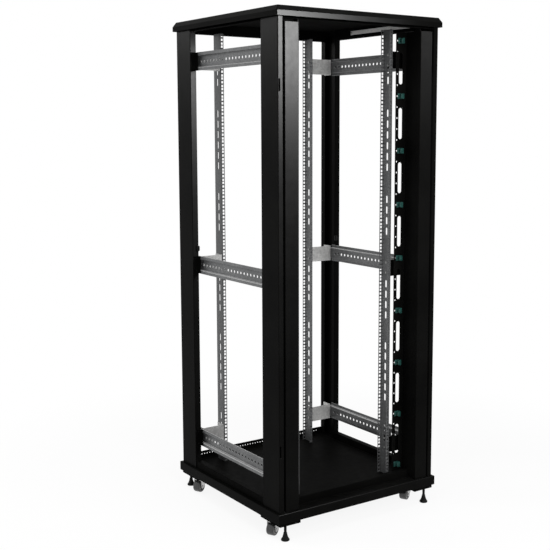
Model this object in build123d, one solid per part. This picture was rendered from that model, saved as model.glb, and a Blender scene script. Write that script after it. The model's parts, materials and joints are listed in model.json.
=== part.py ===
from build123d import *
import os

os.makedirs("parts", exist_ok=True)

# Envelope of the rack: X runs left to right, Y front to back, Z up from the floor
frame_width = 800          # outside of the base
frame_depth = 800          # outside of the base
frame_height = 1960        # underside of the base to the top of the cover
floor_gap = 75             # floor to the underside of the base

# Folded sheet
frame_sheet = 1.5          # posts, beams, sills and cable panels
rail_sheet = 2             # mounting rails, depth rails and their brackets
cover_sheet = 1.5
pan_sheet = 1.5
fold_radius = 1            # inside radius of every fold

# Corner posts
post_inset = 10            # post face behind the edge of the base
post_side = 118            # wall along the side of the rack
post_strip = 22            # strip along the front or the back
post_flange = 28           # return at the inner end of the side wall
post_lip = 20              # stiffening lip on the return
strip_lip = 30             # stiffening lip on the strip
hinge_slot_length = 47
hinge_slot_width = 7
hinge_slot_edge = 6.5      # slot's middle from the outer edge of the strip
hinge_slot_reach = 694     # slots of the front posts above and below the middle of the frame

# Base
skirt_height = 39
skirt_top_flange = 60
skirt_bottom_flange = 40
sill_height = 31           # beam between two posts, standing on the base
sill_width = 28
sill_inset = 4             # sills and roof beams behind the post face
front_sill_inset = 54      # front sill behind the edge of the base
sill_hole_radius = 2.5
sill_hole_pitch = 13.5
sill_hole_drop = 14        # holes below the top of the rear sill
sill_hole_margin = 30      # first hole from the end of the rear sill
pan_lap = 10               # floor pan on the flange of the base

# Roof
cover_lip = 19
cover_slope = 19           # height of the sloped edge over the lip
cover_slope_inset = 11
cover_overhang = 3         # cover past the base on each side
cover_corner = 4
roof_beam_height = 43
roof_beam_width = 28
vent_height = 17
vent_sheet = 1.2
vent_length = 410
vent_drop = 12             # strip below the top of the roof beam
vent_margin = 12           # strip behind the front end of the roof beam

# Mounting rails, with square holes to the 19 inch standard
unit_pitch = 44.45
hole_spacing = 465.1       # hole columns, left to right
square_hole = 9.5
unit_holes = (6.35, 22.225, 38.1)
rail_depth = 58
rail_lip = 7.55            # hole column to the free edge of the flange
rail_flange = 16
rail_front = 115           # front rail's face behind the edge of the base
rail_rear = 63             # rear rail's face in front of the edge of the base
web_slot_length = 31
web_slot_width = 11
web_slots = (2, 3, 4, 5, 8, 9, 10, 11, 12, 13, 16, 17)   # units from the middle

# Depth rails, one above another on each side
depth_rail_height = 75
depth_rail_band = 14
depth_rail_step = 13       # web behind the bands
depth_rail_low = 175       # middle of the lowest, above the underside of the base
depth_rail_mid = 43        # middle of the next, below the middle of the frame
depth_rail_high = 167      # middle of the highest, below the top of the cover
depth_hole_radius = 5.5
depth_hole_pitch = 25
depth_hole_margin = 30     # last hole from the end of the rail
bracket_height = 68
bracket_depth = 54
end_bracket_length = 16
end_bracket_height = 74
end_bracket_sheet = 2

# Cable panels beside the front rails
panel_face = 62            # flat at the front of the rack
panel_gap = 8              # front flat to the strip of the post
panel_return = 15          # returns at the front flat's outer edge and behind the slotted plate
panel_depth = 88           # wall between the front flat and the slotted plate
panel_back = 55            # slotted plate
panel_top_gap = 12         # front flat below the roof beam
panel_slot_length = 127
panel_slot_width = 19
panel_slot_edge = 29       # slot's middle from the wall
panel_slot_units = 5       # slots repeat every five units
panel_hole_radius = 3.25
panel_hole_edge = 46.5     # hole's middle from the wall
panel_hole_margin = 34     # first hole from the end of the panel
clip_edge = 22             # clip's near side from the wall
clip_width = 24
clip_height = 22
clip_reach = 16
clip_arm = 17
clip_wall = 3

# Corner plates, levelling feet and casters
plate_width = 96
plate_depth = 140
plate_inset_side = 10
plate_inset_end = 6
plate_drop = 13
plate_sheet = 3
foot_side = 43             # foot's axis from the side of the base
foot_end = 20              # foot's axis from the front or back of the base
foot_radius = 17
foot_rim = 7
foot_cone_top = 29
foot_neck_radius = 7.5
foot_neck_top = 33
foot_stem_radius = 5.5
foot_stem_top = 95
stem_clearance = 0.05
stem_hole_gap = 2          # stem to the hole in the base
caster_side = 60           # swivel axis from the side of the base
caster_end = 104           # swivel axis from the front or back of the base
caster_turn = 27           # wheels trail to the left, a little towards the front
caster_trail = 36
caster_lift = 3            # wheels off the floor while the feet carry the rack
wheel_radius = 25.5
wheel_width = 32
wheel_edge = 3
axle_radius = 4
pin_radius = 5
pin_head_radius = 8
pin_head = 2
turn_clearance = 0.05      # wheel on its axle and fork on its pin
face_clearance = 0.3       # fork under its raceway and over the pin's head
raceway_radius = 20
raceway = 2.7
fork_sheet = 2.5
fork_crown = 3
fork_gap = 1.25            # wheel to each cheek
fork_end_radius = 9        # cheek around the axle
fork_front = 10            # cheek's top past the swivel axis
fork_rear = 10             # cheek's top behind the axle

# Heights
base_bottom = floor_gap
base_top = base_bottom + skirt_height
pan_top = base_top + pan_sheet
rack_top = base_bottom + frame_height
roof_beam_top = rack_top - cover_sheet
roof_beam_bottom = roof_beam_top - roof_beam_height
post_top = rack_top - cover_slope
middle = base_bottom + frame_height / 2
depth_rail_levels = (depth_rail_low, frame_height / 2 - depth_rail_mid, frame_height - depth_rail_high)

# Clips up the whole slotted plate, with a cable slot between each two
panel_top = roof_beam_bottom - panel_top_gap
panel_slot_pitch = panel_slot_units * unit_pitch
clips = int((2 * (panel_top - middle) - clip_height) // panel_slot_pitch) + 1
panel_slots = clips - 1

# Planes of the left and front sides
side_face = frame_width / 2 - post_inset
front_face = frame_depth / 2 - post_inset
post_end = front_face - post_side            # where the returns of the posts lie
strip_end = side_face - post_strip
depth_rail_face = side_face - post_flange    # where the depth rails meet the posts
depth_rail_length = 2 * (post_end + post_lip)
bracket_outer = depth_rail_face - depth_rail_step - rail_sheet
rail_inner = hole_spacing / 2 - rail_lip
rail_outer = rail_inner + rail_flange
rail_front_face = -frame_depth / 2 + rail_front
rail_rear_face = frame_depth / 2 - rail_rear
rail_bottom = pan_top
rail_length = roof_beam_bottom - rail_bottom
units = int(rail_length // unit_pitch)
first_unit = rail_bottom + (rail_length - units * unit_pitch) / 2


def save(name, *solids):
    shape = solids[0] if len(solids) == 1 else Compound(children=list(solids))
    export_step(shape, f"parts/{name}.step")


def folded(points, thickness):
    # Section of a sheet folded along points, its thickness on the right of the way they run
    points = [Vector(*p) for p in points]
    ways = [(b - a).normalized() for a, b in zip(points, points[1:])]
    sides = [Vector(way.Y, -way.X) for way in ways]
    shifts = [sides[0]]
    shifts += [(s + t) * (1 / (1 + s.dot(t))) for s, t in zip(sides, sides[1:])]
    shifts += [sides[-1]]
    beside = [p + shift * thickness for p, shift in zip(points, shifts)]
    turns = [a.cross(b).Z > 0 for a, b in zip(ways, ways[1:])]
    outer = fold_radius + thickness
    near = FilletPolyline(*points, radius=[fold_radius if left else outer for left in turns])
    far = FilletPolyline(*beside, radius=[outer if left else fold_radius for left in turns])
    ends = [Line(points[0], beside[0]), Line(points[-1], beside[-1])]
    return make_face([*near.edges(), *far.edges(), *(end.edge() for end in ends)])


def upright(section, bottom, top):
    return Pos(0, 0, bottom) * extrude(section, amount=top - bottom)


def along_x(section, length):
    return extrude(Plane.YZ * section, amount=length / 2, both=True)


def along_y(section, length):
    return extrude(Plane.XZ * section, amount=length / 2, both=True)


def box(x, y, z):
    # Block between the given lowest and highest values on each axis
    size = [high - low for low, high in (x, y, z)]
    centre = [(high + low) / 2 for low, high in (x, y, z)]
    return Pos(*centre) * Box(*size)


def sides(name, *solids):
    # The solids of the left side and their mirror images on the right
    save(f"{name}_left", *solids)
    save(f"{name}_right", *[mirror(s, about=Plane.YZ) for s in solids])


def corners(name, *solids):
    # The solids of the front left corner and their mirror images in the other corners
    right = [mirror(s, about=Plane.YZ) for s in solids]
    save(f"{name}_front_left", *solids)
    save(f"{name}_front_right", *right)
    save(f"{name}_rear_left", *[mirror(s, about=Plane.XZ) for s in solids])
    save(f"{name}_rear_right", *[mirror(s, about=Plane.XZ) for s in right])


def corner_set(solid):
    # The solid of the front left corner with its three mirror images
    front = [solid, mirror(solid, about=Plane.YZ)]
    return front + [mirror(s, about=Plane.XZ) for s in front]


def upright_slot(length, width, depth, way):
    # Cutter for an upright round-ended slot, running through along the given direction
    return extrude(Plane((0, 0, 0), x_dir=(0, 0, 1), z_dir=way) * SlotOverall(length, width), depth, both=True)


def post():
    section = folded(
        [
            (post_strip, strip_lip),
            (post_strip, 0),
            (0, 0),
            (0, post_side),
            (post_flange, post_side),
            (post_flange, post_side - post_lip),
        ],
        frame_sheet,
    )
    return upright(Pos(-side_face, -front_face) * section, base_top, post_top)


def hinge_slots():
    # Cutters for the door hinges in the strip of the front left post
    cutter = upright_slot(hinge_slot_length, hinge_slot_width, 2 * frame_sheet, (0, 1, 0))
    across = -side_face + hinge_slot_edge
    return [Pos(across, -front_face, middle + way * hinge_slot_reach) * cutter for way in (-1, 1)]


def skirt_section(edge):
    return folded(
        [
            (-edge + skirt_bottom_flange, base_bottom),
            (-edge, base_bottom),
            (-edge, base_top),
            (-edge + skirt_top_flange, base_top),
        ],
        frame_sheet,
    )


def mitre(width, depth):
    # Prism that keeps a front beam between its two mitred corners
    x, y, inner = width / 2, depth / 2, skirt_top_flange
    outline = Polyline((-x, -y), (x, -y), (x - inner, -y + inner), (-x + inner, -y + inner), close=True)
    return upright(make_face(outline), base_bottom, base_top)


def front_skirt():
    beam = along_x(skirt_section(frame_depth / 2), frame_width) & mitre(frame_width, frame_depth)
    for side in (-1, 1):
        hole = Cylinder(foot_stem_radius + stem_hole_gap, 4 * frame_sheet)
        beam -= Pos(side * (frame_width / 2 - foot_side), -frame_depth / 2 + foot_end, base_bottom) * hole
    return beam


def left_skirt():
    beam = along_y(skirt_section(frame_width / 2), frame_depth)
    return beam & Rotation(0, 0, -90) * mitre(frame_depth, frame_width)


def side_sill():
    outer = -side_face + sill_inset
    inner = outer + sill_width
    top = base_top + sill_height
    section = folded([(outer, base_top), (outer, top), (inner, top), (inner, base_top)], frame_sheet)
    return along_y(section, 2 * post_end)


def front_sill():
    # Low beam on the floor pan, between the walls of the cable panels
    outer = -frame_depth / 2 + front_sill_inset
    inner = outer + sill_width
    top = base_top + sill_height
    section = folded([(outer, pan_top), (outer, top), (inner, top), (inner, pan_top)], frame_sheet)
    return along_x(section, 2 * panel_wall())


def rear_sill():
    outer = front_face - sill_inset
    top = base_top + sill_height
    section = folded([(outer, top), (outer, base_top), (outer - sill_width, base_top)], frame_sheet)
    solid = along_x(section, 2 * strip_end)
    count = int(2 * (strip_end - sill_hole_margin) // sill_hole_pitch) + 1
    hole = Rotation(90, 0, 0) * Cylinder(sill_hole_radius, 4 * frame_sheet)
    row = GridLocations(sill_hole_pitch, 0, count, 1)
    return solid - [Pos(0, outer, top - sill_hole_drop) * place * hole for place in row]


def roof_beam_section(face):
    outer = -face + sill_inset
    inner = outer + roof_beam_width
    return folded(
        [
            (outer, roof_beam_top),
            (inner, roof_beam_top),
            (inner, roof_beam_bottom),
            (outer, roof_beam_bottom),
        ],
        frame_sheet,
    )


def vent_strip():
    inner = -side_face + sill_inset + roof_beam_width
    front = -post_end + vent_margin
    top = roof_beam_top - vent_drop
    return box((inner, inner + vent_sheet), (front, front + vent_length), (top - vent_height, top))


def cover_shape(inset, bottom, top):
    # Lip and sloped edge of the cover, drawn in by the given inset
    width = frame_width + 2 * (cover_overhang - inset)
    depth = frame_depth + 2 * (cover_overhang - inset)
    radius = cover_corner - inset
    shoulder = rack_top - cover_slope
    rim = RectangleRounded(width, depth, radius)
    flat = RectangleRounded(width - 2 * cover_slope_inset, depth - 2 * cover_slope_inset, radius)
    return upright(rim, bottom, shoulder) + loft([Pos(0, 0, shoulder) * rim, Pos(0, 0, top) * flat])


def roof_cover():
    bottom = rack_top - cover_slope - cover_lip
    outside = cover_shape(0, bottom, rack_top)
    return outside - cover_shape(cover_sheet, bottom, rack_top - cover_sheet)


def mounting_rail():
    # Front rail on the right, its channel open towards the middle of the rack
    front, rear = rail_front_face, rail_front_face + rail_depth
    section = folded(
        [(rail_inner, rear), (rail_outer, rear), (rail_outer, front), (rail_inner, front)],
        rail_sheet,
    )
    solid = upright(section, rail_bottom, rail_bottom + rail_length)
    square = Box(square_hole, 2 * rail_depth, square_hole)
    holes = []
    for unit in range(units):
        for height in unit_holes:
            holes.append(Pos(hole_spacing / 2, front, first_unit + unit * unit_pitch + height) * square)
    cutter = upright_slot(web_slot_length, web_slot_width, 2 * rail_sheet, (1, 0, 0))
    centre = rail_bottom + rail_length / 2
    for unit in web_slots:
        for way in (-1, 1):
            height = centre + way * (unit + 0.5) * unit_pitch
            holes.append(Pos(rail_outer, (front + rear) / 2, height) * cutter)
    return solid - holes


def depth_rail(level):
    outer = -depth_rail_face
    web = outer + depth_rail_step
    half = depth_rail_height / 2
    step = half - depth_rail_band
    section = folded(
        [(outer, -half), (outer, -step), (web, -step), (web, step), (outer, step), (outer, half)],
        rail_sheet,
    )
    solid = along_y(section, depth_rail_length)
    hole = Rotation(0, 90, 0) * Cylinder(depth_hole_radius, 4 * rail_sheet)
    reach = int((depth_rail_length / 2 - depth_hole_margin) // depth_hole_pitch)
    row = [n * depth_hole_pitch for n in range(-reach, reach + 1)]
    return Pos(0, 0, base_bottom + level) * (solid - [Pos(web, y, 0) * hole for y in row])


def mounting_bracket(rail_face, level):
    # Channel from a depth rail on the left to a mounting rail whose front face is given
    front = rail_face + (rail_depth - bracket_depth) / 2
    rear = front + bracket_depth
    section = folded(
        [(-rail_outer, rear), (-rail_outer, front), (-bracket_outer, front), (-bracket_outer, rear)],
        rail_sheet,
    )
    centre = base_bottom + level
    return upright(section, centre - bracket_height / 2, centre + bracket_height / 2)


def end_bracket(level):
    # Angle from the return of the front left post to the outside of a depth rail
    section = folded(
        [
            (-depth_rail_face, -post_end + end_bracket_length),
            (-depth_rail_face, -post_end),
            (-side_face + sill_inset, -post_end),
        ],
        end_bracket_sheet,
    )
    centre = base_bottom + level
    return upright(section, centre - end_bracket_height / 2, centre + end_bracket_height / 2)


def panel_wall():
    return strip_end - panel_gap - panel_face


def panel_slot_plane():
    return -front_face + panel_depth


def cable_panel():
    # Panel on the left: front flat, wall and the return that carries the slotted plate
    wall = -panel_wall()
    back = panel_slot_plane() + frame_sheet
    section = folded(
        [
            (wall + panel_return, back),
            (wall, back),
            (wall, -front_face),
            (wall - panel_face, -front_face),
            (wall - panel_face, -front_face + panel_return),
        ],
        frame_sheet,
    )
    solid = upright(section, pan_top, panel_top)
    tab_front = -front_face + sill_inset
    tab_rear = tab_front + roof_beam_width
    return solid + box((wall - frame_sheet, wall), (tab_front, tab_rear), (panel_top, roof_beam_bottom))


def slotted_plate():
    # Plate in front of the left panel's return, with cable slots and a row of round holes
    wall = -panel_wall()
    back = panel_slot_plane()
    solid = box((wall + fold_radius, wall + panel_back), (back, back + frame_sheet), (pan_top, panel_top))
    cutter = upright_slot(panel_slot_length, panel_slot_width, 2 * frame_sheet, (0, 1, 0))
    hole = Rotation(90, 0, 0) * Cylinder(panel_hole_radius, 4 * frame_sheet)
    cuts = []
    for n in range(panel_slots):
        height = middle + (n - (panel_slots - 1) / 2) * panel_slot_pitch
        cuts.append(Pos(wall + panel_slot_edge, back, height) * cutter)
    reach = int((panel_top - middle - panel_hole_margin) // unit_pitch)
    for n in range(-reach, reach + 1):
        cuts.append(Pos(wall + panel_hole_edge, back, middle + n * unit_pitch) * hole)
    return solid - cuts


def cable_clip(n):
    # Hook on the slotted plate of the left panel
    near = -panel_wall() + clip_edge
    back = panel_slot_plane()
    section = folded(
        [
            (near + clip_arm, back - clip_reach),
            (near, back - clip_reach),
            (near, back),
            (near + clip_width, back),
        ],
        clip_wall,
    )
    height = middle + (n - (clips - 1) / 2) * panel_slot_pitch
    return upright(section, height - clip_height / 2, height + clip_height / 2)


def corner_plate():
    left = -frame_width / 2 + plate_inset_side
    front = -frame_depth / 2 + plate_inset_end
    bottom = base_bottom - plate_drop
    x, y = (left, left + plate_width), (front, front + plate_depth)
    tray = box(x, y, (bottom, base_bottom))
    inside = [(low + plate_sheet, high - plate_sheet) for low, high in (x, y)]
    tray -= box(*inside, (bottom + plate_sheet, base_bottom))
    hole = Cylinder(foot_stem_radius + stem_clearance, 4 * plate_sheet)
    return tray - Pos(-frame_width / 2 + foot_side, -frame_depth / 2 + foot_end, bottom) * hole


def levelling_foot():
    outline = Polyline(
        (0, 0),
        (foot_radius, 0),
        (foot_radius, foot_rim),
        (foot_neck_radius, foot_cone_top),
        (foot_neck_radius, foot_neck_top),
        (foot_stem_radius, foot_neck_top),
        (foot_stem_radius, foot_stem_top),
        (0, foot_stem_top),
        close=True,
    )
    solid = revolve(Plane.XZ * make_face(outline), Axis.Z)
    return Pos(-frame_width / 2 + foot_side, -frame_depth / 2 + foot_end, 0) * solid


# Caster heights, with the swivel axis along Z through the origin and the wheel trailing to -X
raceway_top = base_bottom - plate_drop
raceway_bottom = raceway_top - raceway
crown_top = raceway_bottom - face_clearance
crown_bottom = crown_top - fork_crown
axle_height = caster_lift + wheel_radius
cheek_inner = wheel_width / 2 + fork_gap
cheek_outer = cheek_inner + fork_sheet


def caster_pin():
    head_top = crown_bottom - face_clearance
    disc = Pos(0, 0, (raceway_top + raceway_bottom) / 2) * Cylinder(raceway_radius, raceway)
    pin_length = raceway_bottom - head_top
    pin = Pos(0, 0, head_top + pin_length / 2) * Cylinder(pin_radius, pin_length)
    return disc + pin + Pos(0, 0, head_top - pin_head / 2) * Cylinder(pin_head_radius, pin_head)


def caster_fork():
    crown = upright(Circle(raceway_radius), crown_bottom, crown_top)
    rear = -caster_trail - fork_rear
    crown += box((rear, fork_front), (-cheek_outer, cheek_outer), (crown_bottom, crown_top))
    crown -= Pos(0, 0, crown_top) * Cylinder(pin_radius + turn_clearance, 4 * fork_crown)
    eye = Pos(-caster_trail, axle_height) * Circle(fork_end_radius)
    shoulder = Line((rear, crown_bottom), (fork_front, crown_bottom))
    cheek = Plane.XZ * make_hull([*eye.edges(), shoulder.edge()])
    for way in (-1, 1):
        plate = extrude(cheek, amount=fork_sheet / 2, both=True)
        crown += Pos(0, way * (cheek_inner + cheek_outer) / 2, 0) * plate
    axle = Rotation(90, 0, 0) * Cylinder(axle_radius, 2 * cheek_outer)
    return crown + Pos(-caster_trail, 0, axle_height) * axle


def caster_wheel():
    disc = Cylinder(wheel_radius, wheel_width)
    disc = fillet(disc.edges().filter_by(GeomType.CIRCLE), wheel_edge)
    disc -= Cylinder(axle_radius + turn_clearance, 2 * wheel_width)
    return Pos(-caster_trail, 0, axle_height) * Rotation(90, 0, 0) * disc


# Frame
plain_post = post()
sides("post_front", plain_post - hinge_slots())
sides("post_rear", mirror(plain_post, about=Plane.XZ))
front = front_skirt()
save("base_beam_front", front)
save("base_beam_rear", mirror(front, about=Plane.XZ))
sides("base_beam", left_skirt())
sides("side_sill", side_sill())
save("front_sill", front_sill())
save("rear_sill", rear_sill())
pan_x = frame_width / 2 - skirt_top_flange + pan_lap
pan_y = frame_depth / 2 - skirt_top_flange + pan_lap
save("floor_pan", box((-pan_x, pan_x), (-pan_y, pan_y), (base_top, pan_top)))
save("roof_cover", roof_cover())
roof_front = along_x(roof_beam_section(front_face), 2 * strip_end)
save("roof_beam_front", roof_front)
save("roof_beam_rear", mirror(roof_front, about=Plane.XZ))
sides("roof_beam", along_y(roof_beam_section(side_face), 2 * post_end))
sides("roof_vent_strip", vent_strip())

# Mounting rails and what holds them
front_rail = mounting_rail()
rear_rail = Pos(0, rail_rear_face - rail_depth - rail_front_face, 0) * front_rail
save("mounting_rail_front_right", front_rail)
save("mounting_rail_front_left", mirror(front_rail, about=Plane.YZ))
save("mounting_rail_rear_right", rear_rail)
save("mounting_rail_rear_left", mirror(rear_rail, about=Plane.YZ))
sides("depth_rails", *[depth_rail(level) for level in depth_rail_levels])
sides("front_rail_brackets", *[mounting_bracket(rail_front_face, z) for z in depth_rail_levels])
rear_face = rail_rear_face - rail_depth
sides("rear_rail_brackets", *[mounting_bracket(rear_face, z) for z in depth_rail_levels])
front_ends = [end_bracket(level) for level in depth_rail_levels]
sides("depth_rail_ends", *front_ends, *[mirror(s, about=Plane.XZ) for s in front_ends])

# Cable panels
sides("cable_panel", cable_panel())
sides("slotted_plate", slotted_plate())
sides("cable_clips", *[cable_clip(n) for n in range(clips)])

# Feet and casters
save("corner_plates", *corner_set(corner_plate()))
corners("levelling_foot", levelling_foot())
swivels = {
    "front_left": (-1, -1),
    "front_right": (1, -1),
    "rear_left": (-1, 1),
    "rear_right": (1, 1),
}
pins = []
for corner, (x, y) in swivels.items():
    place = Pos(x * (frame_width / 2 - caster_side), y * (frame_depth / 2 - caster_end), 0)
    place *= Rotation(0, 0, caster_turn)
    pins.append(place * caster_pin())
    save(f"caster_fork_{corner}", place * caster_fork())
    save(f"caster_wheel_{corner}", place * caster_wheel())
save("caster_pins", *pins)
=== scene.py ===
import json
import math

import bpy
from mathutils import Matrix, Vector


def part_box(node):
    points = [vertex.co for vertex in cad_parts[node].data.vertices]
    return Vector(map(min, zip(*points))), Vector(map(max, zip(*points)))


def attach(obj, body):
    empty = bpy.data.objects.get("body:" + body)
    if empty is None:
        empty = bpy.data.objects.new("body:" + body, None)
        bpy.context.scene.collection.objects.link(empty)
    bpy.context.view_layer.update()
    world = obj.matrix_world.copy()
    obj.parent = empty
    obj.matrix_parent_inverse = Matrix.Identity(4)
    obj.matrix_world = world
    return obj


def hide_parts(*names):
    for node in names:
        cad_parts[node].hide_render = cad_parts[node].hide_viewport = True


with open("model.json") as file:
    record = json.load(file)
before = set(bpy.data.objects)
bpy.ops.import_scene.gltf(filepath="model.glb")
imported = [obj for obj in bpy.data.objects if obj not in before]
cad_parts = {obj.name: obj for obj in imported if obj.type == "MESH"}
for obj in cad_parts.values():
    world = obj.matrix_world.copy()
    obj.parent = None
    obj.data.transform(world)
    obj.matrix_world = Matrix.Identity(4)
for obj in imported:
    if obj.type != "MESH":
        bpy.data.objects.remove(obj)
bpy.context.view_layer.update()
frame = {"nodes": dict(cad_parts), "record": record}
nodes = frame["nodes"]
corners = ["front_left", "front_right", "rear_left", "rear_right"]
sides = {"left": -1, "right": 1}
mm = 0.001
print("frame loaded:", len(nodes), "nodes")


# small helpers for the operators

def clearSelection():
    if bpy.context.object and bpy.context.object.mode == "EDIT":
        bpy.ops.object.mode_set(mode="OBJECT")
    bpy.ops.object.select_all(action="DESELECT")


def takeUp(*pieces):    # only these are selected, the first one active
    clearSelection()
    for piece in pieces:
        piece.select_set(True)
    bpy.context.view_layer.objects.active = pieces[0]


def pick(piece, kind, wanted):    # leaves the piece in edit mode with what is wanted selected
    bpy.ops.object.mode_set(mode="EDIT")
    bpy.ops.mesh.select_mode(type=kind)
    bpy.ops.mesh.select_all(action="DESELECT")
    bpy.ops.object.mode_set(mode="OBJECT")
    mesh = piece.data
    for member in {"VERT": mesh.vertices, "EDGE": mesh.edges, "FACE": mesh.polygons}[kind]:
        member.select = wanted(member)
    bpy.ops.object.mode_set(mode="EDIT")


def pickFaces(piece, wanted):
    pick(piece, "FACE", wanted)


def pickTop(piece):
    pickFaces(piece, lambda face: face.normal.z > 0.9)


def push(x=0, y=0, z=0):    # extrudes what is selected
    bpy.ops.mesh.extrude_region_move(TRANSFORM_OT_translate={"value": (x, y, z)})


def applyPlace():    # the object goes back to the origin and its place into its mesh
    bpy.ops.object.transform_apply(location=True, rotation=True, scale=True)


def faceOutwards():    # on a mesh in edit mode, which is left selected all over
    bpy.ops.mesh.select_all(action="SELECT")
    bpy.ops.mesh.normals_make_consistent(inside=False)
    bpy.ops.object.mode_set(mode="OBJECT")


def makeDisc(points, radius, height, base=0):    # a short cylinder that stands at its base
    clearSelection()
    bpy.ops.mesh.primitive_cylinder_add(vertices=points, radius=radius, depth=height,
                                        location=(0, 0, base + height / 2))
    applyPlace()
    return bpy.context.object


def startLine(x, z):    # a single point in edit mode
    clearSelection()
    bpy.ops.mesh.primitive_plane_add(size=mm)
    bpy.ops.object.mode_set(mode="EDIT")
    bpy.ops.mesh.select_mode(type="VERT")
    bpy.ops.mesh.merge(type="CENTER")
    bpy.ops.transform.translate(value=(x, 0, z))
    return bpy.context.object


def drawOn(x, z):    # a line from the last point
    bpy.ops.mesh.extrude_vertices_move(TRANSFORM_OT_translate={"value": (x, 0, z)})


def lathe(outline, steps):    # draws the outline point by point, then spins it round Z
    radius, height = outline[0]
    piece = startLine(radius, height)
    for nextRadius, nextHeight in outline[1:]:
        drawOn(nextRadius - radius, nextHeight - height)
        radius, height = nextRadius, nextHeight
    bpy.ops.mesh.select_all(action="SELECT")
    bpy.ops.mesh.spin(steps=steps, angle=2 * math.pi, center=(0, 0, 0), axis=(0, 0, 1))
    bpy.ops.mesh.select_all(action="SELECT")
    bpy.ops.mesh.remove_doubles(threshold=0.01 * mm)
    faceOutwards()
    return piece


def joinAs(name, pieces):
    takeUp(*pieces)
    if len(pieces) > 1:
        bpy.ops.object.join()
    piece = bpy.context.object
    piece.name = piece.data.name = name
    return piece


def stamp(master, name, places):    # a copy at each place, its top turned along the way given there
    copies = []
    for point, way in places:
        takeUp(master)
        bpy.ops.object.duplicate()
        copy = bpy.context.object
        copy.location = point
        copy.rotation_mode = "QUATERNION"
        copy.rotation_quaternion = Vector(way).to_track_quat("Z", "Y")
        copies.append(copy)
    takeUp(*copies)
    applyPlace()
    return joinAs(name, copies)


def throwAway(*pieces):
    takeUp(*pieces)
    bpy.ops.object.delete()


def settle(piece, body, finish, angle=35):
    takeUp(piece)
    bpy.ops.object.shade_smooth_by_angle(angle=math.radians(angle))
    piece.data.materials.clear()
    piece.data.materials.append(finish)
    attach(piece, body)


# finishes

class Finish:
    def __init__(self, name):
        self.material = bpy.data.materials.new(name)
        self.material.use_nodes = True
        self.tree = self.material.node_tree
        self.shader = self.tree.nodes["Principled BSDF"]
        self.place = self.tree.nodes.new("ShaderNodeTexCoord").outputs["Object"]

    def node(self, kind, **values):
        made = self.tree.nodes.new("ShaderNode" + kind)
        for name, value in values.items():
            if hasattr(value, "is_output"):
                self.tree.links.new(value, made.inputs[name.replace("_", " ")])
            elif name.replace("_", " ") in made.inputs:
                made.inputs[name.replace("_", " ")].default_value = value
            else:
                setattr(made, name, value)
        return made

    def stretched(self, scale):
        return self.node("Mapping", Vector=self.place, Scale=scale).outputs["Vector"]

    def noise(self, scale, detail=2.0, rough=0.5, place=None):
        return self.node("TexNoise", Vector=place or self.place, Scale=scale, Detail=detail,
                         Roughness=rough).outputs["Fac"]

    def ramp(self, value, low, high, start=0.0, end=1.0):
        made = self.node("MapRange", Value=value, clamp=True)
        made.inputs["From Min"].default_value = start
        made.inputs["From Max"].default_value = end
        made.inputs["To Min"].default_value = low
        made.inputs["To Max"].default_value = high
        return made.outputs["Result"]

    def blend(self, amount, first, second):
        made = self.node("Mix", data_type="RGBA")
        self.join(amount, made.inputs["Factor"])
        for value, socket in ((first, made.inputs[6]), (second, made.inputs[7])):
            self.join(value, socket)
        return made.outputs[2]

    def times(self, first, second, operation="MULTIPLY"):
        made = self.node("Math", operation=operation)
        self.join(first, made.inputs[0])
        self.join(second, made.inputs[1])
        return made.outputs[0]

    def join(self, value, socket):
        if hasattr(value, "is_output"):
            self.tree.links.new(value, socket)
        elif socket.type == "RGBA":
            socket.default_value = (*value, 1)
        else:
            socket.default_value = value

    def softEdges(self, radius):
        # rounded normals along the folds, and a mask that is 1 right on an edge, where the finishes paint a
        # highlight
        self.rounded = self.node("Bevel", samples=6, Radius=radius).outputs["Normal"]
        straight = self.node("NewGeometry").outputs["Normal"]
        facing = self.node("VectorMath", operation="DOT_PRODUCT")
        self.tree.links.new(self.rounded, facing.inputs[0])
        self.tree.links.new(straight, facing.inputs[1])
        self.edge = self.ramp(facing.outputs["Value"], 1.0, 0.0, 0.72, 0.995)

    def upward(self):    # 1 on faces that look up, -1 on undersides
        return self.node("SeparateXYZ", Vector=self.node("NewGeometry").outputs["Normal"]).outputs["Z"]

    def bump(self, height, strength, distance):
        made = self.node("Bump", Height=height, Strength=strength, Distance=distance)
        if hasattr(self, "rounded"):
            self.tree.links.new(self.rounded, made.inputs["Normal"])
        self.tree.links.new(made.outputs["Normal"], self.shader.inputs["Normal"])

    def set(self, **values):
        for name, value in values.items():
            self.join(value, self.shader.inputs[name.replace("_", " ")])


# the edge colours are painted highlights along the folds
blackCoat = {
    "satin": {"deep": (0.0018, 0.0018, 0.0017), "worn": (0.0038, 0.0038, 0.0036),
              "edge": (0.034, 0.034, 0.033), "gloss": 0.012, "rough": (0.33, 0.39), "fold": 1.2 * mm},
    "matt": {"deep": (0.0016, 0.0016, 0.0015), "worn": (0.0034, 0.0034, 0.0032),
             "edge": (0.024, 0.024, 0.023), "gloss": 0.008, "rough": (0.48, 0.62), "fold": 1.0 * mm},
}
coatGrain = {"clouds": 3.2, "smudges": 38, "grain": 1500, "bump": (0.16, 0.05 * mm), "underside": 0.95}


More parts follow.
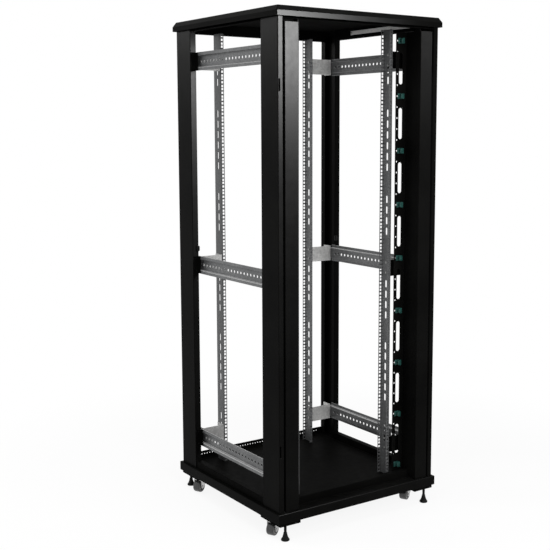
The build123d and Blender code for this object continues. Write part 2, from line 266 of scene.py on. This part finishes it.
def powderCoat(name):
    look = blackCoat[name]
    paint = Finish(name + "Black")
    paint.softEdges(look["fold"])
    cloudy = paint.noise(coatGrain["clouds"], 4.0, 0.6)
    smudge = paint.noise(coatGrain["smudges"], 3.0, 0.55)
    tone = paint.blend(paint.ramp(cloudy, 0, 1, 0.35, 0.7), look["deep"], look["worn"])
    # painted highlight: the edge colour is laid along the folds, broken up by the smudge noise
    edgeHighlight = paint.times(paint.edge, paint.ramp(smudge, 0.25, 1, 0.4, 0.65))
    paint.set(Base_Color=paint.blend(edgeHighlight, tone, look["edge"]))
    low, high = look["rough"]
    patchy = paint.ramp(paint.times(cloudy, smudge, "ADD"), low, high, 0.7, 1.3)
    dry = paint.ramp(paint.upward(), coatGrain["underside"], 0, -0.8, -0.3)    # a thin coat on undersides
    paint.set(Roughness=paint.times(patchy, dry, "MAXIMUM"), Specular_IOR_Level=look["gloss"])
    paint.bump(paint.noise(coatGrain["grain"], 2.0), *coatGrain["bump"])
    return paint.material


# the edge colours are painted highlights along the folds; the depth rail's upward share paints its upward-facing
# ledges lighter
zinc = {
    "rail": {"dark": (0.088, 0.090, 0.092), "light": (0.136, 0.138, 0.140), "edge": (0.30, 0.30, 0.30),
             "metal": 0.5, "rough": (0.34, 0.50), "streak": (900, 900, 9), "fold": 0.9 * mm},
    "depthRail": {"dark": (0.090, 0.092, 0.094), "light": (0.165, 0.168, 0.170), "edge": (0.56, 0.56, 0.56),
                  "metal": 0.5, "rough": (0.34, 0.50), "streak": (900, 9, 900), "fold": 0.9 * mm,
                  "upward": 0.95},
    "bracket": {"dark": (0.38, 0.378, 0.372), "light": (0.60, 0.598, 0.59), "edge": (0.68, 0.68, 0.67),
                "metal": 0.35, "rough": (0.38, 0.54), "streak": (9, 700, 700), "fold": 0.9 * mm},
    "vent": {"dark": (0.62, 0.62, 0.61), "light": (0.78, 0.78, 0.77), "edge": (0.80, 0.80, 0.79),
             "metal": 0.15, "rough": (0.40, 0.55), "streak": (900, 9, 900), "fold": 0.4 * mm},
    "caster": {"dark": (0.36, 0.36, 0.355), "light": (0.52, 0.52, 0.515), "edge": (0.65, 0.65, 0.64),
               "metal": 1.0, "rough": (0.24, 0.40), "streak": (300, 300, 300), "fold": 0.7 * mm},
    "fastener": {"dark": (0.30, 0.30, 0.295), "light": (0.46, 0.46, 0.455), "edge": (0.6, 0.6, 0.59),
                 "metal": 1.0, "rough": (0.26, 0.42), "streak": (400, 400, 400), "fold": 0.3 * mm},
}
zincGrain = {"flakes": 140, "flakeShare": 0.35, "streakShare": 0.65, "stains": 7.0, "bump": (0.10, 0.04 * mm)}


def zincPlate(name):
    look = zinc[name]
    plate = Finish(name + "Zinc")
    plate.softEdges(look["fold"])
    cells = plate.node("TexVoronoi", Vector=plate.place, Scale=zincGrain["flakes"], Randomness=1.0)
    flake = plate.node("SeparateColor", Color=cells.outputs["Color"]).outputs["Red"]
    streak = plate.noise(1.0, 3.0, 0.6, plate.stretched(look["streak"]))
    stain = plate.noise(zincGrain["stains"], 4.0, 0.6)
    flake = plate.times(flake, zincGrain["flakeShare"])
    mixed = plate.times(flake, plate.times(streak, zincGrain["streakShare"]), "ADD")
    mixed = plate.times(mixed, plate.ramp(stain, 0.55, 1.25, 0.3, 0.7))
    tone = plate.blend(plate.ramp(mixed, 0, 1, 0.2, 0.7), look["dark"], look["light"])
    # painted highlight along the edges, broken up by the stain noise
    paintedHighlight = plate.times(plate.edge, plate.ramp(stain, 0.3, 0.9, 0.35, 0.65))
    if "upward" in look:    # painted highlight: ledges that look up are painted lighter, as light from above falls on them
        paintedHighlight = plate.times(paintedHighlight, plate.ramp(plate.upward(), 0, look["upward"], 0.1, 0.7), "MAXIMUM")
    plate.set(Base_Color=plate.blend(paintedHighlight, tone, look["edge"]), Metallic=look["metal"])
    low, high = look["rough"]
    plate.set(Roughness=plate.ramp(plate.times(streak, stain, "ADD"), low, high, 0.7, 1.3))
    plate.bump(streak, *zincGrain["bump"])
    return plate.material


# the edge colour is a painted highlight along the edges
clipTeal = {"deep": (0.006, 0.029, 0.025), "pale": (0.013, 0.053, 0.046), "edge": (0.035, 0.10, 0.09),
            "rough": (0.30, 0.44), "gloss": 0.25, "fold": 0.6 * mm, "flow": 90, "grain": 2600, "edgeHighlight": 0.6,
            "bump": (0.12, 0.03 * mm)}


def mouldedTeal():
    plastic = Finish("mouldedTeal")
    plastic.softEdges(clipTeal["fold"])
    flow = plastic.noise(clipTeal["flow"], 3.0, 0.55)
    tone = plastic.blend(plastic.ramp(flow, 0, 1, 0.3, 0.7), clipTeal["deep"], clipTeal["pale"])
    # painted highlight: the edge colour is laid along the edges
    edgeHighlight = plastic.times(plastic.edge, clipTeal["edgeHighlight"])
    plastic.set(Base_Color=plastic.blend(edgeHighlight, tone, clipTeal["edge"]))
    plastic.set(Roughness=plastic.ramp(flow, *clipTeal["rough"], 0.3, 0.7), Specular_IOR_Level=clipTeal["gloss"])
    plastic.bump(plastic.noise(clipTeal["grain"], 2.0), *clipTeal["bump"])
    return plastic.material


# the edge colour is a painted highlight along the edges, broken up by the scuff noise
footBlack = {"deep": (0.004, 0.004, 0.004), "scuffed": (0.011, 0.011, 0.0105), "edge": (0.04, 0.04, 0.039),
             "rough": (0.30, 0.48), "gloss": 0.1, "fold": 0.5 * mm, "scuffs": 160, "grain": 1800,
             "bump": (0.12, 0.04 * mm)}


def footEnamel():
    enamel = Finish("footEnamel")
    enamel.softEdges(footBlack["fold"])
    scuff = enamel.noise(footBlack["scuffs"], 4.0, 0.65)
    tone = enamel.blend(enamel.ramp(scuff, 0, 1, 0.45, 0.75), footBlack["deep"], footBlack["scuffed"])
    # painted highlight on the edges, patchy where the scuff noise is low
    enamel.set(Base_Color=enamel.blend(enamel.times(enamel.edge, scuff), tone, footBlack["edge"]))
    enamel.set(Roughness=enamel.ramp(scuff, *footBlack["rough"], 0.3, 0.7))
    enamel.set(Specular_IOR_Level=footBlack["gloss"])
    enamel.bump(enamel.noise(footBlack["grain"], 2.0), *footBlack["bump"])
    return enamel.material


tyreRubber = {"deep": (0.010, 0.010, 0.010), "dusty": (0.030, 0.030, 0.029), "rough": (0.22, 0.38),
              "gloss": 0.7, "fold": 0.6 * mm, "dust": 120, "grain": 1400, "bump": (0.25, 0.08 * mm)}


def rubber():
    tyre = Finish("tyreRubber")
    tyre.softEdges(tyreRubber["fold"])
    dust = tyre.noise(tyreRubber["dust"], 4.0, 0.65)
    tone = tyre.blend(tyre.ramp(dust, 0, 1, 0.4, 0.75), tyreRubber["deep"], tyreRubber["dusty"])
    tyre.set(Base_Color=tone, Specular_IOR_Level=tyreRubber["gloss"])
    tyre.set(Roughness=tyre.ramp(dust, *tyreRubber["rough"], 0.3, 0.7))
    tyre.bump(tyre.noise(tyreRubber["grain"], 3.0), *tyreRubber["bump"])
    return tyre.material


hubGrey = {"deep": (0.20, 0.20, 0.197), "pale": (0.30, 0.30, 0.295), "rough": (0.36, 0.5),
           "gloss": 0.4, "fold": 0.5 * mm, "flow": 110, "grain": 2200, "bump": (0.12, 0.03 * mm)}


def hubPlastic():
    hub = Finish("hubPlastic")
    hub.softEdges(hubGrey["fold"])
    flow = hub.noise(hubGrey["flow"], 3.0, 0.55)
    hub.set(Base_Color=hub.blend(hub.ramp(flow, 0, 1, 0.3, 0.7), hubGrey["deep"], hubGrey["pale"]))
    hub.set(Roughness=hub.ramp(flow, *hubGrey["rough"], 0.3, 0.7), Specular_IOR_Level=hubGrey["gloss"])
    hub.bump(hub.noise(hubGrey["grain"], 2.0), *hubGrey["bump"])
    return hub.material


paintFinish = powderCoat("satin")
mattFinish = powderCoat("matt")
railFinish = zincPlate("rail")
depthRailFinish = zincPlate("depthRail")
bracketFinish = zincPlate("bracket")
ventFinish = zincPlate("vent")
casterFinish = zincPlate("caster")
fastenerFinish = zincPlate("fastener")
clipFinish = mouldedTeal()
footFinish = footEnamel()
tyreFinish = rubber()
hubFinish = hubPlastic()

bySlot = {"black_paint": paintFinish, "zinc_rail": railFinish, "zinc_bracket": bracketFinish,
          "vent_metal": ventFinish, "teal_plastic": clipFinish, "foot_plastic": footFinish,
          "caster_steel": casterFinish, "caster_tyre": tyreFinish}
# front_rail_brackets are zinc parts given the matt black: painted shade, since they sit in shadow behind the
# slotted plates
mattAndShadedPieces = ("roof_beam", "side_sill", "rear_sill", "front_sill", "floor_pan", "depth_rail_ends",
              "corner_plates", "front_rail_brackets")
for part in frame["record"]["subparts"]:
    node = nodes[part["node"]]
    finish = bySlot[part["material_slot"]]
    if part["node"].startswith("depth_rails"):
        finish = depthRailFinish
    if part["node"].startswith(mattAndShadedPieces):
        finish = mattFinish
    node.data.materials.clear()
    node.data.materials.append(finish)
print("finishes on", len(nodes), "nodes")


# screws of the brackets, modelled once

panScrew = {"washer": 5.6 * mm, "washerThick": 0.7 * mm, "head": 4.2 * mm, "height": 2.3 * mm,
            "dome": 0.9 * mm, "drive": 1.9 * mm, "driveDepth": 1.3 * mm, "lobe": 0.68}


def makePanScrew():
    size = panScrew
    screw = makeDisc(12, size["washer"], size["washerThick"])
    pickTop(screw)
    bpy.ops.mesh.inset(thickness=size["washer"] - size["head"])
    push(z=size["height"])
    bpy.ops.mesh.bevel(offset=size["dome"], segments=2)
    top = size["washerThick"] + size["height"]
    pickFaces(screw, lambda face: face.normal.z > 0.99 and face.center.z > top - 0.01 * mm)
    bpy.ops.mesh.inset(thickness=size["head"] - size["dome"] - size["drive"])
    push(z=-size["driveDepth"])

    # every second point of the socket is drawn in, which leaves a six-lobed drive
    def innerLobe(point):
        turn = math.degrees(math.atan2(point.co.y, point.co.x)) % 60
        inSocket = point.co.xy.length < size["drive"] * 1.05
        return inSocket and point.co.z > size["washerThick"] and 15 < turn < 45
    pick(screw, "VERT", innerLobe)
    bpy.ops.transform.resize(value=(size["lobe"], size["lobe"], 1), center_override=(0, 0, 0))
    bpy.ops.object.mode_set(mode="OBJECT")
    return screw


screwMaster = makePanScrew()

bracketScrews = {"levels": (250 * mm, 1012 * mm, 1868 * mm), "sheet": 2 * mm,
                 "railSpread": 21 * mm, "bracketSpread": 10.5 * mm}
endScrews = {"spread": 26 * mm, "fromCorner": 12 * mm, "sheet": 2 * mm}


def placeBracketScrews():
    for side, way in sides.items():
        spots = []
        for row in ("front", "rear"):
            rail, bracket = f"mounting_rail_{row}_{side}", f"{row}_rail_brackets_{side}"
            low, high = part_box(rail)
            middleY = (low.y + high.y) / 2
            for node, spread in ((rail, "railSpread"), (bracket, "bracketSpread")):
                low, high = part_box(node)
                web = max(abs(low.x), abs(high.x)) - bracketScrews["sheet"]
                for level in bracketScrews["levels"]:
                    for lift in (-1, 1):
                        z = level + lift * bracketScrews[spread]
                        spots.append(((way * web, middleY, z), (-way, 0, 0)))
        settle(stamp(screwMaster, f"bracket_screws_{side}", spots), "frame", fastenerFinish)


def placeEndScrews():
    for side, way in sides.items():
        low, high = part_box(f"depth_rail_ends_{side}")
        x = way * (max(abs(low.x), abs(high.x)) - endScrews["fromCorner"])
        spots = []
        for level in bracketScrews["levels"]:
            for end, back in ((low.y, 1), (high.y, -1)):
                for lift in (-1, 1):
                    z = level + lift * endScrews["spread"]
                    spots.append(((x, end + back * endScrews["sheet"], z), (0, back, 0)))
        settle(stamp(screwMaster, f"rail_end_screws_{side}", spots), "frame", mattFinish)


placeBracketScrews()
placeEndScrews()
print("screws placed")


# dome rivets that hold the slotted plates

rivet = {"radius": 3.2 * mm, "height": 1.3 * mm, "dome": 1.04 * mm, "fromWall": 7.5 * mm,
         "pitch": 222.25 * mm, "count": 9, "middle": 1055 * mm}


def placeRivets():
    master = makeDisc(12, rivet["radius"], rivet["height"])
    pickTop(master)
    bpy.ops.mesh.bevel(offset=rivet["dome"], segments=3)
    bpy.ops.object.mode_set(mode="OBJECT")
    for side, way in sides.items():
        low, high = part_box(f"slotted_plate_{side}")
        edge = max(abs(low.x), abs(high.x))
        spots = []
        for n in range(rivet["count"]):
            z = rivet["middle"] + (n - (rivet["count"] - 1) / 2) * rivet["pitch"]
            spots.append(((way * (edge - rivet["fromWall"]), low.y, z), (0, -1, 0)))
        settle(stamp(master, f"plate_rivets_{side}", spots), "frame", paintFinish)
    throwAway(master)


placeRivets()
print("rivets placed")


# bumpers on the returns of the rear posts

bumper = {"width": 15 * mm, "height": 24 * mm, "base": 4.8 * mm, "nose": 3.2 * mm, "step": 1.4 * mm,
          "corner": 5.5 * mm, "round": 1.6 * mm, "fromEdge": 5 * mm, "level": 1082 * mm}


def placeBumpers():
    clearSelection()
    bpy.ops.mesh.primitive_cube_add(size=1, scale=(bumper["width"], bumper["height"], bumper["base"]),
                                    location=(0, 0, bumper["base"] / 2))
    master = bpy.context.object
    applyPlace()

    def upright(edge):
        first, second = (master.data.vertices[i].co for i in edge.vertices)
        return abs(first.z - second.z) > mm
    pick(master, "EDGE", upright)
    bpy.ops.mesh.bevel(offset=bumper["corner"], segments=5)
    pickTop(master)
    bpy.ops.mesh.inset(thickness=bumper["step"])
    push(z=bumper["nose"])
    bpy.ops.mesh.bevel(offset=bumper["round"], segments=3)
    bpy.ops.object.mode_set(mode="OBJECT")
    for side, way in sides.items():
        low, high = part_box(f"post_rear_{side}")
        inner = min(abs(low.x), abs(high.x))
        spot = (way * (inner + bumper["fromEdge"]), low.y, bumper["level"])
        piece = stamp(master, f"post_bumper_{side}", [(spot, (0, -1, 0))])
        settle(piece, "frame", footFinish)
    throwAway(master)


placeBumpers()
print("bumpers placed")


# perforated vent strips under the roof

ventHoles = {"pitch": 8.4 * mm, "step": 10.4 * mm, "hole": 3.0 * mm, "screwIn": 0.015}


def makeVentStrip(side, way):
    low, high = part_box(f"roof_vent_strip_{side}")
    length, height, thick = high.y - low.y, high.z - low.z, high.x - low.x
    across = int(height // ventHoles["pitch"])
    along = int(length // ventHoles["step"])
    cellWide, cellLong = height / across, length / along
    clearSelection()
    bpy.ops.mesh.primitive_plane_add(size=ventHoles["pitch"])
    strip = bpy.context.object
    bpy.ops.object.mode_set(mode="EDIT")
    bpy.ops.mesh.subdivide(number_cuts=1)
    pick(strip, "VERT", lambda point: point.co.length < 0.1 * mm)
    bpy.ops.mesh.bevel(offset=ventHoles["hole"], segments=2, affect="VERTICES")
    pickFaces(strip, lambda face: face.center.length < 0.3 * mm)
    bpy.ops.mesh.delete(type="FACE")
    bpy.ops.mesh.select_all(action="SELECT")
    bpy.ops.transform.resize(value=(cellWide / ventHoles["pitch"], cellLong / ventHoles["pitch"], 1))
    bpy.ops.object.mode_set(mode="OBJECT")
    for name, count, offset in (("up", across, (cellWide, 0, 0)), ("along", along, (0, cellLong, 0))):
        row = strip.modifiers.new(name, "ARRAY")
        row.count = count
        row.use_relative_offset = False
        row.use_constant_offset = True
        row.constant_offset_displace = offset
        row.use_merge_vertices = True
        row.merge_threshold = 0.05 * mm
        bpy.ops.object.modifier_apply(modifier=name)
    sheet = strip.modifiers.new("sheet", "SOLIDIFY")
    sheet.thickness = thick
    sheet.offset = 0
    bpy.ops.object.modifier_apply(modifier="sheet")
    # laid out flat so far: stood up on edge, then slid to its place
    strip.rotation_euler = (0, -math.pi / 2, 0)
    applyPlace()
    points = [point.co for point in strip.data.vertices]
    start = Vector([min(p[i] for p in points) for i in range(3)])
    strip.location = low - start
    applyPlace()
    strip.name = strip.data.name = f"vent_strip_{side}"
    settle(strip, "frame", ventFinish)
    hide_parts(f"roof_vent_strip_{side}")
    inner = way * min(abs(low.x), abs(high.x))
    fromEnd = ventHoles["screwIn"] * length
    spots = [((inner, y, (low.z + high.z) / 2), (-way, 0, 0)) for y in (low.y + fromEnd, high.y - fromEnd)]
    settle(stamp(screwMaster, f"vent_screws_{side}", spots), "frame", fastenerFinish)


for side, way in sides.items():
    makeVentStrip(side, way)
print("vent strips perforated")


# cable hooks on the slotted plates

hook = {"width": 24 * mm, "reach": 16 * mm, "height": 22 * mm, "wall": 3 * mm, "arm": 17 * mm,
        "taper": 0.62, "taperFrom": 0.55, "lipInset": 1.2 * mm, "lip": 1.6 * mm, "round": 1.1 * mm,
        "pitch": 222.25 * mm, "count": 9, "middle": 1055 * mm}


def makeHooks(side, way):
    low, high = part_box(f"cable_clips_{side}")
    clearSelection()
    bpy.ops.mesh.primitive_cube_add(size=1, scale=(hook["width"], hook["wall"], hook["height"]),
                                    location=(hook["width"] / 2, -hook["wall"] / 2, 0))
    master = bpy.context.object
    applyPlace()
    # the base is cut where the riser starts, and the riser and the arm are pulled out of it
    bpy.ops.object.mode_set(mode="EDIT")
    bpy.ops.mesh.select_all(action="SELECT")
    bpy.ops.mesh.bisect(plane_co=(hook["wall"], 0, 0), plane_no=(1, 0, 0))
    pickFaces(master, lambda face: face.normal.y < -0.9 and face.center.x < hook["wall"])
    push(y=-(hook["reach"] - 2 * hook["wall"]))
    push(y=-hook["wall"])
    pickFaces(master, lambda face: face.normal.x > 0.9 and face.center.y < -hook["reach"] + hook["wall"])
    free = hook["arm"] - hook["wall"]
    push(x=free * hook["taperFrom"])
    push(x=free * (1 - hook["taperFrom"]))
    bpy.ops.transform.resize(value=(1, 1, hook["taper"]), center_override=(0, 0, 0))

    # a lip at the arm's tip keeps the cables in
    def armTip(face):
        onArm = face.center.y < -hook["reach"] + 1.2 * hook["wall"]
        return onArm and face.normal.y > 0.9 and face.center.x > hook["wall"] + free * 0.6
    pickFaces(master, armTip)
    bpy.ops.mesh.inset(thickness=hook["lipInset"])
    push(y=hook["lip"])
    bpy.ops.object.mode_set(mode="OBJECT")
    edges = master.modifiers.new("edges", "BEVEL")
    edges.width = hook["round"]
    edges.segments = 2
    bpy.ops.object.modifier_apply(modifier="edges")
    if way > 0:
        takeUp(master)
        bpy.ops.transform.mirror(constraint_axis=(True, False, False))
        applyPlace()
        bpy.ops.object.mode_set(mode="EDIT")
        faceOutwards()
    near = low.x if way < 0 else high.x
    copies = []
    for n in range(hook["count"]):
        takeUp(master)
        bpy.ops.object.duplicate()
        copy = bpy.context.object
        copy.location = (near, high.y, hook["middle"] + (n - (hook["count"] - 1) / 2) * hook["pitch"])
        copies.append(copy)
    takeUp(*copies)
    applyPlace()
    hooks = joinAs(f"cable_hooks_{side}", copies)
    throwAway(master)
    settle(hooks, "frame", clipFinish)
    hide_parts(f"cable_clips_{side}")


for side, way in sides.items():
    makeHooks(side, way)
print("cable hooks made")


# levelling feet: bell, spanner flats and a threaded stem

foot = {"bell": [(0, 0), (15.2, 0), (16.5, 0.7), (17, 2.2), (17, 5), (16.2, 6.8), (14.2, 9.2), (12.2, 12.6),
                 (10.6, 16.6), (9.2, 21.2), (8, 26), (7.2, 27.4), (0, 27.4)],
        "flats": 7.5 * mm, "flatsFrom": 26.5 * mm, "flatsTo": 33 * mm, "chamfer": 0.8 * mm,
        "core": 4.8 * mm, "crest": 5.5 * mm, "pitch": 1.5 * mm, "sunk": 0.1 * mm,
        "flank": 0.38, "crestFlat": 0.14}    # shares of the pitch


def makeFoot():
    bell = lathe([(r * mm, z * mm) for r, z in foot["bell"]], 40)
    flats = makeDisc(6, foot["flats"], foot["flatsTo"] - foot["flatsFrom"], foot["flatsFrom"])
    pickFaces(flats, lambda face: abs(face.normal.z) > 0.9)
    bpy.ops.mesh.bevel(offset=foot["chamfer"], segments=2)
    bpy.ops.object.mode_set(mode="OBJECT")
    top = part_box("levelling_foot_front_left")[1].z
    stem = lathe([(0, foot["flatsTo"] - mm), (foot["core"], foot["flatsTo"] - mm), (foot["core"], top - mm),
                  (foot["core"] - mm, top), (0, top)], 24)
    # one ridge of the thread, wound up the stem
    thread = startLine(foot["core"] - foot["sunk"], foot["flatsTo"])
    rise = foot["crest"] - foot["core"] + foot["sunk"]
    for x, share in ((rise, "flank"), (0, "crestFlat"), (-rise, "flank")):
        drawOn(x, foot[share] * foot["pitch"])
    bpy.ops.object.mode_set(mode="OBJECT")
    wind = thread.modifiers.new("wind", "SCREW")
    wind.screw_offset = foot["pitch"]
    wind.iterations = int((top - 2 * mm - foot["flatsTo"]) // foot["pitch"])
    wind.steps = wind.render_steps = 16
    wind.use_merge_vertices = True
    bpy.ops.object.modifier_apply(modifier="wind")
    bpy.ops.object.mode_set(mode="EDIT")
    faceOutwards()
    return joinAs("footMaster", [bell, flats, stem, thread])


footMaster = makeFoot()
for corner in corners:
    low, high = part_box(f"levelling_foot_{corner}")
    middle = (low + high) / 2
    piece = stamp(footMaster, f"foot_{corner}", [((middle.x, middle.y, low.z), (0, 0, 1))])
    settle(piece, f"foot_{corner}", footFinish)
    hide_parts(f"levelling_foot_{corner}")
throwAway(footMaster)
print("feet made")


# caster wheels: tyre and hub, turned round the axle

wheel = {"tyre": [(17.4, -14.8), (21.9, -15.8), (24, -15), (25.2, -13), (25.5, -10), (25.5, 10), (25.2, 13),
                  (24, 15), (21.9, 15.8), (17.4, 14.8), (16.8, 11), (16.8, -11), (17.4, -14.8)],
         "hub": [(4.1, -16), (7.6, -16), (8.2, -15.4), (8.6, -11.6), (14.6, -10.8), (15.4, -14.4),
                 (16.2, -15.2), (17.3, -14.7), (17.3, 14.7), (16.2, 15.2), (15.4, 14.4), (14.6, 10.8),
                 (8.6, 11.6), (8.2, 15.4), (7.6, 16), (4.1, 16), (4.1, -16)],
         "cheek": 19.75 * mm}
axleWay = {joint["child"]: Vector(joint["axis"]) for joint in frame["record"]["behaviour"]["joints"]}


def makeWheels():
    tyre = lathe([(r * mm, z * mm) for r, z in wheel["tyre"]], 44)
    hub = lathe([(r * mm, z * mm) for r, z in wheel["hub"]], 44)
    for corner in corners:
        low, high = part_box(f"caster_wheel_{corner}")
        centre = (low + high) / 2
        axle = axleWay[f"wheel_{corner}"]
        rubberRing = stamp(tyre, f"tyre_{corner}", [(centre, axle)])
        settle(rubberRing, f"wheel_{corner}", tyreFinish)
        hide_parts(f"caster_wheel_{corner}")
        settle(stamp(hub, f"hub_{corner}", [(centre, axle)]), f"wheel_{corner}", hubFinish)
    throwAway(tyre, hub)


makeWheels()
print("wheels made")


# hexagon bolts under the corner plates, and the axle ends

plateBolt = {"radius": 6.2 * mm, "height": 1.9 * mm, "chamfer": 0.6 * mm, "washer": 7.4 * mm,
             "washerThick": 0.7 * mm, "washerEdge": 0.3 * mm, "fromEdge": 8.4 * mm,
             "plate": (96 * mm, 140 * mm)}


def placePlateBolts():
    wide, thick = plateBolt["washer"], plateBolt["washerThick"]
    head = makeDisc(6, plateBolt["radius"], plateBolt["height"], thick)
    pickTop(head)
    bpy.ops.mesh.bevel(offset=plateBolt["chamfer"], segments=2)
    bpy.ops.object.mode_set(mode="OBJECT")
    flatTo = wide - plateBolt["washerEdge"]
    washer = lathe([(0, 0), (wide, 0), (wide, thick * 0.7), (flatTo, thick), (0, thick)], 20)
    master = joinAs("boltMaster", [head, washer])
    low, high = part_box("corner_plates")
    plateWidth, plateDepth = plateBolt["plate"]
    spots = []
    for x in (low.x, high.x):
        for y in (low.y, high.y):
            inX, inY = -math.copysign(1, x), -math.copysign(1, y)
            near = plateBolt["fromEdge"]
            farX, farY = plateWidth - near, plateDepth - near
            for dx, dy in ((near, farY), (farX, farY), (farX, near)):
                spots.append(((x + inX * dx, y + inY * dy, low.z), (0, 0, -1)))
    settle(stamp(master, "plate_bolts", spots), "frame", fastenerFinish)
    throwAway(master)


axleCap = {"radius": 5.2 * mm, "height": 1.6 * mm, "dome": 1.0 * mm}


def placeAxleCaps():
    master = makeDisc(16, axleCap["radius"], axleCap["height"])
    pickTop(master)
    bpy.ops.mesh.bevel(offset=axleCap["dome"], segments=3)
    bpy.ops.object.mode_set(mode="OBJECT")
    for corner in corners:
        low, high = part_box(f"caster_wheel_{corner}")
        centre = (low + high) / 2
        axle = axleWay[f"wheel_{corner}"]
        spots = [(centre + axle * way * wheel["cheek"], axle * way) for way in (-1, 1)]
        caps = stamp(master, f"axle_caps_{corner}", spots)
        settle(caps, f"caster_{corner}", fastenerFinish)
    throwAway(master)


placePlateBolts()
placeAxleCaps()
throwAway(screwMaster)
print("bolts placed")


# stage, light and camera

def seenRays(tree):    # 1 for camera, glossy and transmission rays
    rays = tree.nodes.new("ShaderNodeLightPath").outputs
    total = rays["Is Camera Ray"]
    for name in ("Is Glossy Ray", "Is Transmission Ray"):
        add = tree.nodes.new("ShaderNodeMath")
        add.operation = "MAXIMUM"
        tree.links.new(total, add.inputs[0])
        tree.links.new(rays[name], add.inputs[1])
        total = add.outputs[0]
    return total


floorLook = {"size": 40.0, "fadeFrom": 1.0, "fadeTo": 2.2, "glow": 0.90, "pale": 0.80}


def makeFloor():
    clearSelection()
    bpy.ops.mesh.primitive_plane_add(size=floorLook["size"], location=(0, 0, 0))
    floor = bpy.context.object
    floor.name = floor.data.name = "floor"
    look = bpy.data.materials.new("paleFloor")
    look.use_nodes = True
    tree = look.node_tree
    tree.nodes.clear()
    link = tree.links.new
    place = tree.nodes.new("ShaderNodeTexCoord").outputs["Object"]
    reach = tree.nodes.new("ShaderNodeVectorMath")
    reach.operation = "LENGTH"
    link(place, reach.inputs[0])
    fade = tree.nodes.new("ShaderNodeMapRange")
    fade.interpolation_type = "SMOOTHSTEP"
    fade.inputs["From Min"].default_value = floorLook["fadeFrom"]
    fade.inputs["From Max"].default_value = floorLook["fadeTo"]
    link(reach.outputs["Value"], fade.inputs["Value"])
    pale = tree.nodes.new("ShaderNodeBsdfDiffuse")
    pale.inputs["Color"].default_value = (floorLook["pale"],) * 3 + (1,)
    white = tree.nodes.new("ShaderNodeEmission")
    white.inputs["Strength"].default_value = 1.0
    near = tree.nodes.new("ShaderNodeMixShader")    # part glow, part lit: the shadow stays, but soft
    near.inputs["Fac"].default_value = floorLook["glow"]
    link(pale.outputs[0], near.inputs[1])
    link(white.outputs[0], near.inputs[2])
    spread = tree.nodes.new("ShaderNodeMixShader")
    link(fade.outputs["Result"], spread.inputs["Fac"])
    link(near.outputs[0], spread.inputs[1])
    link(white.outputs[0], spread.inputs[2])
    seen = tree.nodes.new("ShaderNodeMixShader")    # other rays meet a plain pale floor
    link(seenRays(tree), seen.inputs["Fac"])
    link(pale.outputs[0], seen.inputs[1])
    link(spread.outputs[0], seen.inputs[2])
    link(seen.outputs[0], tree.nodes.new("ShaderNodeOutputMaterial").inputs["Surface"])
    floor.data.materials.append(look)


worldLook = {"light": 0.42}


def makeWorld():
    world = bpy.data.worlds.new("studio")
    bpy.context.scene.world = world
    world.use_nodes = True
    tree = world.node_tree
    back = tree.nodes["Background"]
    back.inputs["Color"].default_value = (1, 1, 1, 1)
    level = tree.nodes.new("ShaderNodeMapRange")
    level.inputs["To Min"].default_value = worldLook["light"]
    level.inputs["To Max"].default_value = 1.0
    tree.links.new(seenRays(tree), level.inputs["Value"])
    tree.links.new(level.outputs["Result"], back.inputs["Strength"])


lamps = {
    "softbox": {"place": (0.97, -2.45, 2.33), "aim": (-0.35, -0.4, 1.85), "size": (0.5, 0.8), "power": 1500,
                "diffuse": False,
                "only": ("post_front_left", "post_rear_left", "cable_panel_left", "base_beam_front")},
    # the narrow beam misses the cover's right lip, which would flare from behind
    "lipBox": {"place": (0.62, -2.45, 1.90), "aim": (-0.4, -0.4, 2.02), "size": (0.2, 0.2), "power": 90,
               "spread": 34, "diffuse": False, "only": ("roof_cover",)},
    "rightBox": {"place": (2.14, -2.45, 2.40), "aim": (0.32, -0.4, 1.9), "size": (0.5, 0.8), "power": 95,
                 "diffuse": False, "only": ("cable_panel_right",)},
    "leftBox": {"place": (-2.6, 3.4, 3.1), "aim": (-0.4, 0, 1.9), "size": (2.2, 1.4), "power": 140,
                "diffuse": False, "only": ("post_",)},
    "front": {"place": (0.1, -3.0, 2.0), "aim": (0, 0, 1.1), "size": (2.6, 1.8), "power": 85,
              "glossy": False},
    "overhead": {"place": (-0.6, -0.4, 3.6), "aim": (0, 0, 1), "size": (2.4, 2.4), "power": 60,
                 "glossy": False},
    "leftFill": {"place": (-2.6, 1.6, 2.6), "aim": (-0.4, 0, 1.6), "size": (1.4, 1.4), "power": 45,
                 "glossy": False},
}


def makeLamp(name, look):
    clearSelection()
    bpy.ops.object.light_add(type="AREA", location=look["place"])
    lamp = bpy.context.object
    lamp.name = lamp.data.name = name
    lamp.data.shape = "RECTANGLE"
    lamp.data.size, lamp.data.size_y = look["size"]
    lamp.data.energy = look["power"]
    lamp.data.spread = math.radians(look.get("spread", 180))
    lamp.visible_diffuse = look.get("diffuse", True)
    lamp.visible_glossy = look.get("glossy", True)
    if "only" in look:    # shines on these pieces alone
        lit = bpy.data.collections.new(name + "Lit")
        for node in nodes:
            if node.startswith(look["only"]):
                lit.objects.link(nodes[node])
        lamp.light_linking.receiver_collection = lit
    beam = Vector(look["aim"]) - Vector(look["place"])
    lamp.rotation_euler = beam.to_track_quat("-Z", "Y").to_euler()


eye = {"place": (-2.4590, -3.5233, 1.5874), "turn": 0.6128, "tilt": -0.1267, "lens": 66.41, "sensor": 36,
       "shift": (-0.06, -0.03)}


def makeCamera():
    clearSelection()
    bpy.ops.object.camera_add(location=eye["place"], rotation=(math.pi / 2 + eye["tilt"], 0, -eye["turn"]))
    camera = bpy.context.object
    camera.name = camera.data.name = "eye"
    camera.data.lens = eye["lens"]
    camera.data.sensor_width = eye["sensor"]
    camera.data.shift_x, camera.data.shift_y = eye["shift"]
    bpy.context.scene.camera = camera


makeFloor()
makeWorld()
for name, look in lamps.items():
    makeLamp(name, look)
makeCamera()
bpy.context.scene.view_settings.view_transform = "Standard"
print("stage set")
